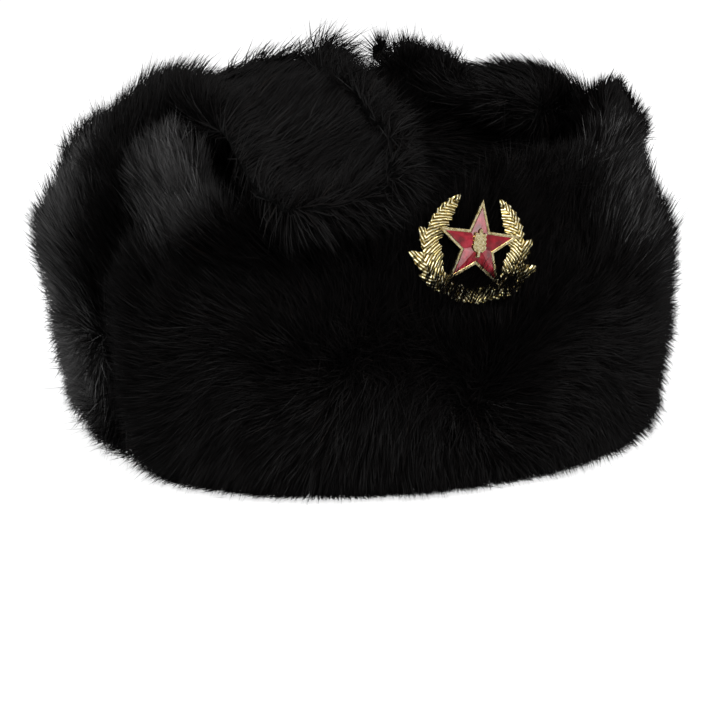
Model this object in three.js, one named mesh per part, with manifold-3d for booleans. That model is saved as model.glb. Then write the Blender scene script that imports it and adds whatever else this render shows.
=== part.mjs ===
// A winter hat of black fur with its flaps tied up: a padded crown, a front flap, one flap for ears and nape
// whose two ear lobes meet over the crown, the lace that ties them, and an enamelled star badge in a gilt wreath.
// Millimetres, +Z up, the front of the hat towards -Y. It stands on its rim, with the origin on the surface
// below its centre.
import * as THREE from "three";
import { mergeVertices } from "three/addons/utils/BufferGeometryUtils.js";
import Module from "manifold-3d";

const wasm = await Module();
wasm.setup();

// Head opening and crown
const HEAD_HALF_WIDTH = 78;
const HEAD_HALF_LENGTH = 100;
const CROWN_WALL = 8; // padded cloth under the pelt
const CROWN_HALF_WIDTH = HEAD_HALF_WIDTH + CROWN_WALL;
const CROWN_HALF_LENGTH = HEAD_HALF_LENGTH + CROWN_WALL;
const RIM_Z = 12; // lower edge of the crown, held off the ground by the fur of the flaps
const CROWN_TOP_Z = 134;
const CROWN_HEIGHT = CROWN_TOP_Z - RIM_Z;
const PLAN_POWER = 2.3; // 2 is an ellipse, more is boxier
const SIDE_POWER = 4.2; // the same for the crown's upright outline

// Flaps: a padded pelt folded up against the crown
const FLAP_GAP = 0.6; // from the crown to the back of a flap, at the rim
const RIM_THICKNESS = 31; // of padding and fur together
const FLAP_THICKNESS = 35; // where the fur is deepest, a third of the way up
const TOP_THICKNESS = 28;
const LEFT_LOBE_THICKNESS = 13; // where the wearer's left ear lobe lies over the crown
const RIGHT_LOBE_THICKNESS = 21;
const LEAN = 6; // how far the free edge of a flap stands off the crown
const LOBE_STAND_OFF = 5; // the crown's own fur lies between it and an ear lobe
const EDGE_FUR = 15; // fur beyond the free edge of the pelt
const END_ROUNDING = 16; // length over which the side of a flap thins out
const END_SHARE = 0.42; // thickness left at the very side
const LOBE_END_SHARE = 0.85; // the same at the front edge of an ear lobe

// Locks of fur: each is two columns wide and a few rows long, and stands proud at its tip
const LOCK_ROWS = 3;
const LOCK_RISE = 4.5;
const LOCK_SINK = 1.8;
const LOCK_SWEEP = 3.5;

// Lace that ties the lobes
const KNOT_Y = -28;
const KNOT_Z = 143.5;
const STUB_END = 10.4;

// Badge, in its own frame: x to the right, y up, z away from the hat
const BADGE_X = 2.2; // its centre lies a little to the wearer's left
const BADGE_Z = 96.3; // height of its centre on the front flap
const BADGE_TILT = 6; // degrees that it leans back
const BADGE_ROLL = -12; // degrees that it is turned on the fur
const WREATH_HALF_WIDTH = 25;
const WREATH_PLATE = 0.8;
const STAR_TIP = 17.2;
const STAR_NOTCH = 6.9;
const STAR_PLATE = 1.2;
const STAR_RIM = 0.75; // width of the bare metal edge round the enamel
const STAR_LIP = 0.6; // how far that edge stands above the well
const ENAMEL_EDGE = 0.5;
const ENAMEL_RIDGE = 1.6;
const GRAIN_TOP = 5.9;
const CONTACT = 0.3; // clearance between pieces that touch

// A row for each column of a flap: theta is the direction at the rim, in degrees from the front; reach is the
// length of the pelt from the rim up; tip is where, front to back, the column would end over the crown
const FRONT_FLAP = [
  { theta: 0, reach: 98, tip: 0 },
  { theta: 28, reach: 99, tip: 0 },
  { theta: 50, reach: 104, tip: 0 },
  { theta: 64, reach: 107, tip: 0 },
  { theta: 70, reach: 103, tip: 0 },
  { theta: 75, reach: 92, tip: 0 },
];
const EAR_NAPE_FLAP = [
  { theta: 78, reach: 200, tip: -60 },
  { theta: 84, reach: 202, tip: -51 },
  { theta: 91, reach: 202, tip: -42 },
  { theta: 98, reach: 197, tip: -32 },
  { theta: 104, reach: 180, tip: -22 },
  { theta: 109, reach: 146, tip: -10 },
  { theta: 114, reach: 116, tip: 2 },
  { theta: 122, reach: 102, tip: 10 },
  { theta: 146, reach: 99, tip: 20 },
  { theta: 180, reach: 99, tip: 20 },
];
const TIP_X = 12; // where the pelt of an ear lobe ends, off the centre line
const UPRIGHT_REACH = 114; // a column this long stays upright beside the crown
const OVER_REACH = 165; // and one this long follows the crown all the way
const EDGE_ROUNDING = 0.3; // share of its thickness that an upright flap loses towards its free edge
const SLOPE_THINNING = 0.55; // how much the pelt thins where the edge comes down from a lobe to the nape
const TUFT_TURN = 0.68; // how far the fur at the tip of a lobe turns up
const TOP_TURN = 2; // degrees that the sides of the flaps lean towards the front on their way up
const LEFT_LOBE_BULGE = 42; // how far the wearer's left ear lobe swells forwards over the crown
const RIGHT_LOBE_BULGE = 66;
const BULGE_START = [0.21, 0.46]; // share of the way over the crown where that swelling begins and is full

// The right lobe also droops over the front flap, whose free edge is pressed down there
const DROOP_FORWARD = 31;
const DROOP_DOWN = 28;
const DROOP_WIDENING = 0.35; // share by which it spreads on both sides of its middle
const DROOP_MIDDLE_X = -50;
const DROOP_START_Y = 55;
const DROOP_FULL_Y = 105;
const DROOP_SIDES = [8, 40, 82, 106]; // off the centre line: where it begins, is full, fades and ends
const PRESS_DEPTH = 20;
const PRESS_SIDES = [-60, -44, -10, 8]; // the same for the pressed edge, as directions in degrees
const CORNER_RISE = 9; // how much higher the front flap stands at the wearer's left corner
const CORNER_SIDES = [36, 56, 68, 75];

// Fur round the two edges of a flap's section, as shares of its thickness and of the fur past the pelt's edge
const RIM_FUR = [
  { out: -0.15, beyond: 0.5 },
  { out: 0.1, beyond: 1 },
  { out: 0.46, beyond: 1 },
  { out: 0.84, beyond: 0.5 },
];
const TOP_FUR = [
  { out: 0.86, beyond: 0.4 },
  { out: 0.64, beyond: 0.84 },
  { out: 0.38, beyond: 1 },
  { out: 0.1, beyond: 0.62 },
];

const DEGREE = Math.PI / 180;
const UP = new THREE.Vector3(0, 0, 1);
const clamp01 = (value) => Math.min(1, Math.max(0, value));
const smooth = (from, to, value) => THREE.MathUtils.smoothstep(value, from, to);
const plateau = ([start, full, fade, end], value) => smooth(start, full, value) * (1 - smooth(fade, end, value));
const signedPower = (value, power) => Math.sign(value) * Math.abs(value) ** power;

function planPoint(theta, halfWidth, halfLength) {
  const x = halfWidth * signedPower(Math.sin(theta * DEGREE), 2 / PLAN_POWER);
  const y = -halfLength * signedPower(Math.cos(theta * DEGREE), 2 / PLAN_POWER);
  return new THREE.Vector2(x, y);
}

// 1 on the crown's outline seen from above, 0 at its centre
function planShare(x, y) {
  const across = Math.abs(x / CROWN_HALF_WIDTH) ** PLAN_POWER;
  const along = Math.abs(y / CROWN_HALF_LENGTH) ** PLAN_POWER;
  return (across + along) ** (1 / PLAN_POWER);
}

// Outward direction of the crown's surface at a point on it
function crownNormal(point) {
  const step = 0.01;
  const level = (x, y, z) =>
    planShare(x, y) ** SIDE_POWER + (Math.max(0, z - RIM_Z) / CROWN_HEIGHT) ** SIDE_POWER;
  const { x, y, z } = point;
  return new THREE.Vector3(
    level(x + step, y, z) - level(x - step, y, z),
    level(x, y + step, z) - level(x, y - step, z),
    level(x, y, z + step) - level(x, y, z - step),
  ).normalize();
}

// Where a column crosses the level of the crown's outline that planShare names, on its way from side to tip
function crossing(column, theta, share) {
  const start = planPoint(theta, CROWN_HALF_WIDTH, CROWN_HALF_LENGTH);
  const tip = new THREE.Vector2(Math.sign(column.theta) * TIP_X, column.tip);
  const at = (way) => start.clone().lerp(tip, way);
  let low = 0;
  let high = 1;
  for (let turn = 0; turn < 40; turn++) {
    const middle = (low + high) / 2;
    const place = at(middle);
    if (planShare(place.x, place.y) > share) low = middle;
    else high = middle;
  }
  const place = at(low);
  place.y -= column.bulge * Math.sin(Math.PI * low) ** 0.6 * smooth(...BULGE_START, low);
  return place;
}

// The way of one column of pelt, as evenly spaced frames. A flap's free edge stands upright beside the crown; the
// more a column goes over the top, the closer it follows the crown
function spine(column, count) {
  const fine = 90;
  const path = [];
  for (let k = 0; k <= fine; k++) {
    const angle = (Math.PI / 2) * (k / fine) ** 1.6;
    const z = RIM_Z + CROWN_HEIGHT * Math.sin(angle) ** (2 / SIDE_POWER);
    const share = Math.abs(Math.cos(angle)) ** (2 / SIDE_POWER);
    const turn = Math.sign(column.theta) * TOP_TURN * column.turn * smooth(RIM_Z, CROWN_TOP_Z - 12, z);
    const place = crossing(column, column.theta - turn, share);
    const upright = planPoint(column.theta - turn, CROWN_HALF_WIDTH, CROWN_HALF_LENGTH);
    place.lerp(upright, 1 - column.over);
    path.push(new THREE.Vector3(place.x, place.y, z));
  }
  const lengths = [0];
  for (let k = 1; k < path.length; k++) lengths.push(lengths[k - 1] + path[k].distanceTo(path[k - 1]));
  const along = (length) => {
    let k = 1;
    while (k < path.length - 1 && lengths[k] < length) k++;
    const share = clamp01((length - lengths[k - 1]) / (lengths[k] - lengths[k - 1] || 1));
    return path[k - 1].clone().lerp(path[k], share);
  };
  const reach = Math.min(column.reach, lengths[fine] - 1);
  const frames = [];
  for (let k = 0; k < count; k++) {
    const length = (reach * k) / (count - 1);
    const point = along(length);
    const upward = along(Math.min(reach, length + 2)).sub(along(Math.max(0, length - 2))).normalize();
    const level = crownNormal(new THREE.Vector3(point.x, point.y, RIM_Z));
    const outward = crownNormal(point).lerp(level, 1 - column.over);
    outward.addScaledVector(upward, -outward.dot(upward)).normalize();
    frames.push({ point, outward, upward, length });
  }
  return frames;
}

// Rise of a lock's surface at a column and row: tips proud, the gaps between them sunk
function lockRise(column, row) {
  const band = Math.floor(row / LOCK_ROWS);
  const ripeness = (row % LOCK_ROWS) / (LOCK_ROWS - 1);
  const onRidge = (column + band) % 2 === 0;
  return onRidge ? LOCK_RISE * ripeness : -LOCK_SINK * ripeness;
}

// One closed section of a flap, from the fur under the rim, up the outside, over the free edge and down the back
function flapSection(column, index, furRows, backRows) {
  const frames = spine(column, furRows);
  const reach = frames[furRows - 1].length;
  const { over, fullness } = column;
  const slope = (length) => 1 - SLOPE_THINNING * 4 * over * (1 - over) * smooth(60, 120, length);
  const thickness = (length) => {
    const low = THREE.MathUtils.lerp(RIM_THICKNESS, FLAP_THICKNESS, smooth(0, 35, length));
    const side = THREE.MathUtils.lerp(low, TOP_THICKNESS, smooth(50, 100, length));
    const edge = 1 - EDGE_ROUNDING * (1 - over) * smooth(reach - 40, reach, length);
    const lobe = THREE.MathUtils.lerp(side * edge, column.lobeThickness, over * smooth(88, 135, length));
    const full = THREE.MathUtils.lerp(fullness, Math.max(fullness, LOBE_END_SHARE), over * smooth(95, 140, length));
    return full * slope(length) * lobe;
  };
  const lean = THREE.MathUtils.lerp(LEAN, LOBE_STAND_OFF, over);
  const standOff = (length) => FLAP_GAP + lean * smooth(4, 80, length);
  const section = [];
  const add = (frame, out, along, direction = frame.upward) => {
    const point = frame.point.clone().addScaledVector(frame.outward, out).addScaledVector(direction, along);
    point.z = Math.max(0, point.z);
    section.push(point);
  };
  const first = frames[0];
  const last = frames[furRows - 1];
  for (const { out, beyond } of RIM_FUR) {
    add(first, FLAP_GAP + out * RIM_THICKNESS * fullness, -RIM_Z * beyond * fullness);
  }
  frames.forEach((frame, row) => {
    const rise = row ? lockRise(index, row) * fullness : 0;
    add(frame, standOff(frame.length) + thickness(frame.length) + rise, (LOCK_SWEEP * rise) / LOCK_RISE);
  });
  const tuftTurn = last.upward.clone().lerp(last.outward, over * TUFT_TURN).normalize();
  for (const { out, beyond } of TOP_FUR) {
    const tuft = (index % 2 ? 0.75 : 1.15) * EDGE_FUR * beyond * slope(reach) * (0.4 + 0.6 * fullness);
    add(last, standOff(reach) + out * thickness(reach), tuft, tuftTurn);
  }
  for (let row = backRows - 1; row >= 0; row--) {
    const frame = frames[Math.round((row * (furRows - 1)) / (backRows - 1))];
    add(frame, standOff(frame.length), 0);
  }
  return section;
}

// Triangles that close the side of a flap: a ladder between the outside of its section and the back
function sideLadder(furCount, backCount) {
  const count = furCount + backCount;
  const triangles = [];
  let [fur, back] = [0, count - 1];
  while (fur < furCount - 1 || back > furCount) {
    const furShare = (fur - RIM_FUR.length + 1) / (furCount - RIM_FUR.length - TOP_FUR.length);
    const backShare = (count - back) / backCount;
    if (back === furCount || (fur < furCount - 1 && furShare <= backShare)) {
      triangles.push([fur, fur + 1, back]);
      fur++;
    } else {
      triangles.push([fur, back - 1, back]);
      back--;
    }
  }
  return triangles;
}

// Value of one name in a table at a direction, smooth from row to row
function fromTable(table, theta, name) {
  let k = 1;
  while (k < table.length - 1 && table[k].theta < theta) k++;
  const [before, after] = [table[k - 1], table[k]];
  const share = smooth(0, 1, clamp01((theta - before.theta) / (after.theta - before.theta)));
  return THREE.MathUtils.lerp(before[name], after[name], share);
}

// A closed mesh from vertices and triangles, turned so that its faces point out
function closedGeometry(points, triangles) {
  let volume = 0;
  const cross = new THREE.Vector3();
  for (const [a, b, c] of triangles) volume += points[a].dot(cross.crossVectors(points[b], points[c]));
  const index = triangles.flatMap(([a, b, c]) => (volume > 0 ? [a, b, c] : [a, c, b]));
  const geometry = new THREE.BufferGeometry().setFromPoints(points);
  geometry.setIndex(index);
  return geometry;
}

// Skins closed sections that follow each other, and closes both ends with the triangles of endCap
function loft(sections, endCap) {
  const count = sections[0].length;
  const last = (sections.length - 1) * count;
  const triangles = [];
  for (let start = 0; start < last; start += count) {
    for (let k = 0; k < count; k++) {
      const [a, b] = [start + k, start + ((k + 1) % count)];
      triangles.push([a, b, b + count], [a, b + count, a + count]);
    }
  }
  for (const [a, b, c] of endCap) triangles.push([c, b, a], [last + a, last + b, last + c]);
  return closedGeometry(sections.flat(), triangles);
}

// Where a point of the ear and nape flap goes as the right lobe droops
function droop(point) {
  const forward = smooth(DROOP_START_Y, DROOP_FULL_Y, -point.y);
  const share = forward * plateau(DROOP_SIDES, -point.x);
  return new THREE.Vector3(
    point.x + DROOP_WIDENING * share * (point.x - DROOP_MIDDLE_X),
    point.y - DROOP_FORWARD * share,
    point.z - DROOP_DOWN * share ** 2,
  );
}

// How much the front flap's free edge is lower in a direction: the right lobe presses on it, and the left corner
// stands a little higher
function pressed(theta) {
  return PRESS_DEPTH * plateau(PRESS_SIDES, theta) - CORNER_RISE * plateau(CORNER_SIDES, theta);
}

function flapGeometry(directions, table, options) {
  const sections = directions.map((theta, index) => {
    const away = Math.abs(theta);
    const side = (Math.abs(away - options.sideTheta) * DEGREE * (CROWN_HALF_WIDTH + CROWN_HALF_LENGTH)) / 2;
    const round = clamp01(side / END_ROUNDING);
    const reach = fromTable(table, away, "reach") - options.pressed(theta);
    const column = {
      theta,
      reach,
      tip: fromTable(table, away, "tip"),
      over: smooth(UPRIGHT_REACH, OVER_REACH, reach),
      bulge: options.bulge(theta) * (1 - smooth(76, 116, away)),
      lobeThickness: theta > 0 ? LEFT_LOBE_THICKNESS : RIGHT_LOBE_THICKNESS,
      turn: options.turn(away),
      fullness: END_SHARE + (1 - END_SHARE) * Math.sqrt(1 - (1 - round) ** 2),
    };
    return flapSection(column, index, options.furRows, options.backRows).map(options.drape);
  });
  const furCount = RIM_FUR.length + options.furRows + TOP_FUR.length;
  return loft(sections, sideLadder(furCount, options.backRows));
}

const spread = (from, to, count) =>
  Array.from({ length: count }, (_, k) => from + ((to - from) * k) / (count - 1));

function frontFlap() {
  const side = FRONT_FLAP[FRONT_FLAP.length - 1].theta;
  return flapGeometry(spread(-side, side, 37), FRONT_FLAP, {
    sideTheta: side,
    bulge: () => 0,
    pressed,
    drape: (point) => point,
    turn: (away) => (away / side) ** 2,
    furRows: 9,
    backRows: 6,
  });
}

// From the wearer's left temple round the nape to the right one. Directions past the nape count as negative, so
// that each side is the mirror of the other
function earNapeFlap() {
  const side = EAR_NAPE_FLAP[0].theta;
  const half = spread(side, 178.6, 40);
  const directions = [...half, ...half.map((theta) => -theta).reverse()];
  return flapGeometry(directions, EAR_NAPE_FLAP, {
    sideTheta: side,
    bulge: (theta) => (theta > 0 ? LEFT_LOBE_BULGE : RIGHT_LOBE_BULGE),
    pressed: () => 0,
    drape: droop,
    turn: (away) => 1 - smooth(70, 140, away),
    furRows: 12,
    backRows: 8,
  });
}

// The crown is turned as a lathe profile, then squared to the plan and given locks where its fur shows
function crown() {
  const rings = 12;
  const innerRings = 8;
  const profile = [];
  const quarterPoint = (share, halfWidth, height) => {
    const angle = (Math.PI / 2) * share ** 1.25;
    const radius = halfWidth * Math.cos(angle) ** (2 / SIDE_POWER);
    return new THREE.Vector2(radius, height * Math.sin(angle) ** (2 / SIDE_POWER));
  };
  for (let k = innerRings; k >= 1; k--) {
    profile.push(quarterPoint(k / innerRings, HEAD_HALF_WIDTH, CROWN_HEIGHT - CROWN_WALL));
  }
  profile.push(new THREE.Vector2(HEAD_HALF_WIDTH, 0));
  for (let k = 0; k <= rings; k++) profile.push(quarterPoint(k / rings, CROWN_HALF_WIDTH, CROWN_HEIGHT));
  profile[0].x = 0;
  profile[profile.length - 1].x = 0;
  const segments = 48;
  const lathe = new THREE.LatheGeometry(profile, segments);
  const place = lathe.attributes.position;
  for (let k = 0; k < place.count; k++) {
    const [x, height, z] = [place.getX(k), place.getY(k), place.getZ(k)];
    const radius = Math.hypot(x, z);
    const theta = Math.atan2(x, z) / DEGREE;
    const row = k % profile.length;
    const inside = row <= innerRings;
    const stretch = inside ? HEAD_HALF_LENGTH / HEAD_HALF_WIDTH : CROWN_HALF_LENGTH / CROWN_HALF_WIDTH;
    const flat = planPoint(theta, radius, radius * stretch);
    const segment = Math.floor(k / profile.length) % segments;
    const furred = inside || radius < 1 ? 0 : smooth(0.93, 0.985, height / CROWN_HEIGHT);
    const fur = -0.55 * LOCK_RISE * furred * ((segment + row) % 2);
    place.setXYZ(k, flat.x, flat.y, RIM_Z + height + fur);
  }
  return fromSolid(toSolid(lathe));
}

// A solid for manifold-3d from a three.js geometry, and back
function toSolid(geometry) {
  const bare = geometry.clone();
  for (const name of Object.keys(bare.attributes)) if (name !== "position") bare.deleteAttribute(name);
  const merged = mergeVertices(bare, 1e-4);
  return new wasm.Manifold(
    new wasm.Mesh({
      numProp: 3,
      vertProperties: new Float32Array(merged.attributes.position.array),
      triVerts: new Uint32Array(merged.index.array),
    }),
  );
}

function fromSolid(solid) {
  const mesh = solid.getMesh();
  const geometry = new THREE.BufferGeometry();
  geometry.setAttribute("position", new THREE.BufferAttribute(mesh.vertProperties.slice(), 3));
  geometry.setIndex(Array.from(mesh.triVerts));
  return geometry;
}

const join = (geometries) =>
  fromSolid(geometries.map(toSolid).reduce((whole, piece) => whole.add(piece)));

// One leaf of the wreath, from its stem to its tip: a plate whose barbs stand up on both sides of the midrib
function leaf({ from, to, bow, width, barbs, base }) {
  const stem = new THREE.Vector2(from[0], from[1]);
  const tip = new THREE.Vector2(to[0], to[1]);
  const chord = tip.clone().sub(stem);
  const side = new THREE.Vector2(-chord.y, chord.x).normalize();
  const middle = stem.clone().lerp(tip, 0.5).addScaledVector(side, bow);
  const rib = new THREE.QuadraticBezierCurve(stem, middle, tip);
  const sections = [];
  for (let k = 0; k <= 2 * barbs; k++) {
    const way = k / (2 * barbs);
    const centre = rib.getPoint(way);
    const ahead = rib.getTangent(way);
    const across = new THREE.Vector2(-ahead.y, ahead.x);
    const half = Math.max(0.25, (width / 2) * Math.sin(Math.PI * (0.16 + 0.84 * way)) ** 0.7);
    const barb = k % 2 ? 1 : 0;
    const edge = (sign) =>
      centre.clone().addScaledVector(across, sign * half * (0.86 + 0.2 * barb)).addScaledVector(ahead, 0.9);
    const [left, right] = [edge(1), edge(-1)];
    const top = base + WREATH_PLATE + 0.55 * barb;
    sections.push([
      new THREE.Vector3(left.x, left.y, base),
      new THREE.Vector3(left.x, left.y, top - 0.35),
      new THREE.Vector3(centre.x, centre.y, top + 0.45),
      new THREE.Vector3(right.x, right.y, top - 0.35),
      new THREE.Vector3(right.x, right.y, base),
    ]);
  }
  return loft(sections, [[0, 1, 2], [0, 2, 3], [0, 3, 4]]);
}

// Leaves of the wearer's-right branch, from the foot of the wreath up; the other branch is its mirror
const WREATH_LEAVES = [
  { from: [1.5, -19.2], to: [-9.5, -17.2], bow: 0.4, width: 6.4, barbs: 4, base: 0 },
  { from: [-5.5, -18.2], to: [-19.6, -13.6], bow: -1.2, width: 7, barbs: 5, base: 0.25 },
  { from: [-9.8, -15.6], to: [-WREATH_HALF_WIDTH, -5.6], bow: -1.6, width: 7.2, barbs: 6, base: 0.5 },
  { from: [-14, -11], to: [-22.2, 3.8], bow: -2.4, width: 7.6, barbs: 6, base: 0.25 },
  { from: [-17.6, -2.5], to: [-8.6, 17.4], bow: 3.2, width: 7.4, barbs: 8, base: 0 },
];

function wreath() {
  const branch = WREATH_LEAVES.map(leaf);
  const mirrored = branch.map((geometry) => {
    const copy = geometry.clone();
    copy.scale(-1, 1, 1);
    copy.setIndex(Array.from(copy.index.array).reverse());
    return copy;
  });
  return join([...branch, ...mirrored]);
}

function starOutline(tipRadius, notchRadius) {
  const outline = [];
  for (let k = 0; k < 10; k++) {
    const radius = k % 2 ? notchRadius : tipRadius;
    const angle = Math.PI / 2 + (k * Math.PI) / 5;
    outline.push(new THREE.Vector2(radius * Math.cos(angle), radius * Math.sin(angle)));
  }
  return outline;
}

// A star whose arms rise to a ridge, from edge height to ridge height
function ridgedStar(outline, low, edge, ridge) {
  const points = [new THREE.Vector3(0, 0, low), new THREE.Vector3(0, 0, ridge)];
  const triangles = [];
  for (const { x, y } of outline) points.push(new THREE.Vector3(x, y, low), new THREE.Vector3(x, y, edge));
  const count = outline.length;
  for (let k = 0; k < count; k++) {
    const next = (k + 1) % count;
    const [a, aTop, b, bTop] = [2 + 2 * k, 3 + 2 * k, 2 + 2 * next, 3 + 2 * next];
    triangles.push([0, b, a], [1, aTop, bTop], [a, b, bTop], [a, bTop, aTop]);
  }
  return closedGeometry(points, triangles);
}

const STAR_BASE = WREATH_PLATE + 1.35; // the star's back clears the leaves that its arms cross
const ENAMEL_BASE = STAR_BASE + STAR_PLATE;
const ENAMEL_SIZE = 1 - STAR_RIM / starEdgeDistance();

// From the star's centre square to one of its edges
function starEdgeDistance() {
  const notchX = STAR_NOTCH * Math.sin(36 * DEGREE);
  const notchY = STAR_NOTCH * Math.cos(36 * DEGREE);
  return (STAR_TIP * notchX) / Math.hypot(notchX, STAR_TIP - notchY);
}

// An ear of grain raised in the middle of the star, or with swell the room that the enamel leaves round it
function grainEar(swell) {
  const low = ENAMEL_BASE - 0.3;
  const height = GRAIN_TOP - low + swell;
  const stalk = new THREE.BoxGeometry(0.9 + 2 * swell, 7.6 + 2 * swell, height);
  stalk.translate(0, -0.4, low + height / 2);
  const pieces = [stalk];
  const oval = (x, y, halfWidth, halfLength, turn = 0) => {
    const geometry = new THREE.CylinderGeometry(1, 1, height, 10);
    geometry.rotateX(Math.PI / 2);
    geometry.scale(halfWidth + swell, halfLength + swell, 1);
    geometry.rotateZ(turn * DEGREE);
    geometry.translate(x, y, low + height / 2);
    pieces.push(geometry);
  };
  oval(0, 1, 1.2, 3.6);
  for (let k = 0; k < 4; k++) {
    for (const side of [-1, 1]) oval(side * (1.6 - 0.12 * k), 1.55 * k - 1.1, 0.72, 1.4, -38 * side);
  }
  oval(0, 4.9, 0.72, 1.5);
  return join(pieces);
}

// The star: a plate with a raised edge, and the ear of grain that stands in its well
function starPlate() {
  const outline = new THREE.Shape(starOutline(STAR_TIP, STAR_NOTCH));
  const plate = new THREE.ExtrudeGeometry(outline, { depth: STAR_PLATE + STAR_LIP, bevelEnabled: false });
  plate.translate(0, 0, STAR_BASE);
  const wellOutline = new THREE.Shape(starOutline(STAR_TIP * ENAMEL_SIZE, STAR_NOTCH * ENAMEL_SIZE));
  const well = new THREE.ExtrudeGeometry(wellOutline, { depth: 2, bevelEnabled: false });
  well.translate(0, 0, ENAMEL_BASE);
  return fromSolid(toSolid(plate).subtract(toSolid(well)).add(toSolid(grainEar(0))));
}

// Red enamel in the well of the star, clear of the metal all round
function enamel() {
  const size = ENAMEL_SIZE - CONTACT / starEdgeDistance();
  const low = ENAMEL_BASE + CONTACT;
  const outline = starOutline(STAR_TIP * size, STAR_NOTCH * size);
  const star = ridgedStar(outline, low, low + ENAMEL_EDGE, low + ENAMEL_RIDGE);
  return fromSolid(toSolid(star).subtract(toSolid(grainEar(CONTACT))));
}

// A plain post through the pelt, with a disc behind it, holds the badge
const POST_RADIUS = 1.5;
const POST_DISC = 8;
function badgePost(length) {
  const post = new THREE.CylinderGeometry(POST_RADIUS, POST_RADIUS, length, 16);
  post.rotateX(Math.PI / 2);
  post.translate(0, 0, -length / 2);
  const disc = new THREE.CylinderGeometry(POST_DISC, POST_DISC, 1, 20);
  disc.rotateX(Math.PI / 2);
  disc.translate(0, 0, -length + 0.5);
  return join([post, disc]);
}

// Oval bar from place to place, with flat ends
function bar(from, to, halfWidth, halfHeight) {
  const geometry = new THREE.CylinderGeometry(1, 1, from.distanceTo(to), 8);
  geometry.rotateX(Math.PI / 2);
  geometry.scale(halfWidth, halfHeight, 1);
  const turn = new THREE.Matrix4().lookAt(from, to, UP).setPosition(from.clone().lerp(to, 0.5));
  return geometry.applyMatrix4(turn);
}

// The lace that ties the two ear lobes: a knot between their tips, a stub to each, and two ends that lie behind it
function tieLace() {
  const knot = new THREE.SphereGeometry(1, 10, 8);
  knot.scale(3.4, 5, 3.4);
  knot.translate(0, KNOT_Y, KNOT_Z);
  const pieces = [knot];
  for (const side of [-1, 1]) {
    const centre = new THREE.Vector3(side, KNOT_Y, KNOT_Z);
    const dip = new THREE.Vector3(side * 3, KNOT_Y + 27, CROWN_TOP_Z + 1.6);
    const end = new THREE.Vector3(side * 7, KNOT_Y + 52, CROWN_TOP_Z + 0.9);
    pieces.push(bar(centre, new THREE.Vector3(side * STUB_END, KNOT_Y, KNOT_Z), 2, 1));
    pieces.push(bar(centre, dip, 1.7, 0.9), bar(dip, end, 1.7, 0.9));
  }
  return join(pieces);
}

const FUR = new THREE.MeshStandardMaterial({ color: 0x0b0b0c, roughness: 0.62 });
const LACE = new THREE.MeshStandardMaterial({ color: 0x131313, roughness: 0.8 });
const GILT = new THREE.MeshStandardMaterial({ color: 0xd8b94a, roughness: 0.28, metalness: 1 });
const RED_ENAMEL = new THREE.MeshStandardMaterial({ color: 0xa3172c, roughness: 0.15 });
const STEEL = new THREE.MeshStandardMaterial({ color: 0x9a9a9a, roughness: 0.4, metalness: 1 });

function named(name, geometry, material) {
  const mesh = new THREE.Mesh(geometry, material);
  mesh.name = name;
  return mesh;
}

// Badge place: its back lies in a dish pressed into the fur of the front flap
const FUR_FRONT_Y = -(CROWN_HALF_LENGTH + FLAP_GAP + LEAN + TOP_THICKNESS + 3);
const BADGE_SINK = 9; // how far the badge's back lies below the tips of the fur
const badgePlace = new THREE.Vector3(BADGE_X, FUR_FRONT_Y + BADGE_SINK, BADGE_Z);
const badgeTurn = new THREE.Euler((90 - BADGE_TILT) * DEGREE, 0, 0, "XYZ");
const flapBackY = -(CROWN_HALF_LENGTH + FLAP_GAP + LEAN);
const PELT_TO_DISC = 2.3; // its disc lies just behind the flap's back
const POST_LENGTH = (flapBackY - badgePlace.y) / Math.cos(BADGE_TILT * DEGREE) + STAR_BASE + PELT_TO_DISC;

function dishedFrontFlap() {
  const dishProfile = [
    [0, -CONTACT],
    [27, -CONTACT],
    [40, 12],
    [40, 30],
    [0, 30],
  ].map(([radius, height]) => new THREE.Vector2(radius, height));
  const dish = new THREE.LatheGeometry(dishProfile, 28).rotateX(Math.PI / 2);
  const hole = new THREE.CylinderGeometry(POST_RADIUS + 0.35, POST_RADIUS + 0.35, 90, 16).rotateX(Math.PI / 2);
  const seat = new THREE.Matrix4().makeRotationFromEuler(badgeTurn).setPosition(badgePlace);
  const solid = toSolid(frontFlap());
  const cutters = [dish, hole].map((geometry) => toSolid(geometry.applyMatrix4(seat)));
  return fromSolid(solid.subtract(cutters[0]).subtract(cutters[1]));
}

const hat = new THREE.Group();
hat.add(named("crown", crown(), FUR));
hat.add(named("front_flap", dishedFrontFlap(), FUR));
hat.add(named("ear_nape_flap", earNapeFlap(), FUR));
hat.add(named("tie_lace", tieLace(), LACE));

const badge = new THREE.Group();
badge.position.copy(badgePlace);
badge.rotation.copy(badgeTurn);
const rolled = new THREE.Group();
rolled.rotation.z = BADGE_ROLL * DEGREE;
rolled.add(named("badge_wreath", wreath(), GILT));
rolled.add(named("badge_star", starPlate(), GILT));
rolled.add(named("badge_enamel", enamel(), RED_ENAMEL));
const post = named("badge_post", badgePost(POST_LENGTH), STEEL);
post.position.z = STAR_BASE - CONTACT;
badge.add(rolled, post);
hat.add(badge);

// The origin goes below the middle between the front and the back
const extent = new THREE.Box3().setFromObject(hat, true);
hat.position.y = -(extent.min.y + extent.max.y) / 2;
hat.updateMatrixWorld(true);

export default hat;
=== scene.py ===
"""Looks of a black fur hat with its flaps tied up and an enamelled star badge.

Metres, +Z up, front towards -Y."""
import math

import bmesh
import bpy
import numpy as np
from mathutils import Matrix, Vector, kdtree


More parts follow.
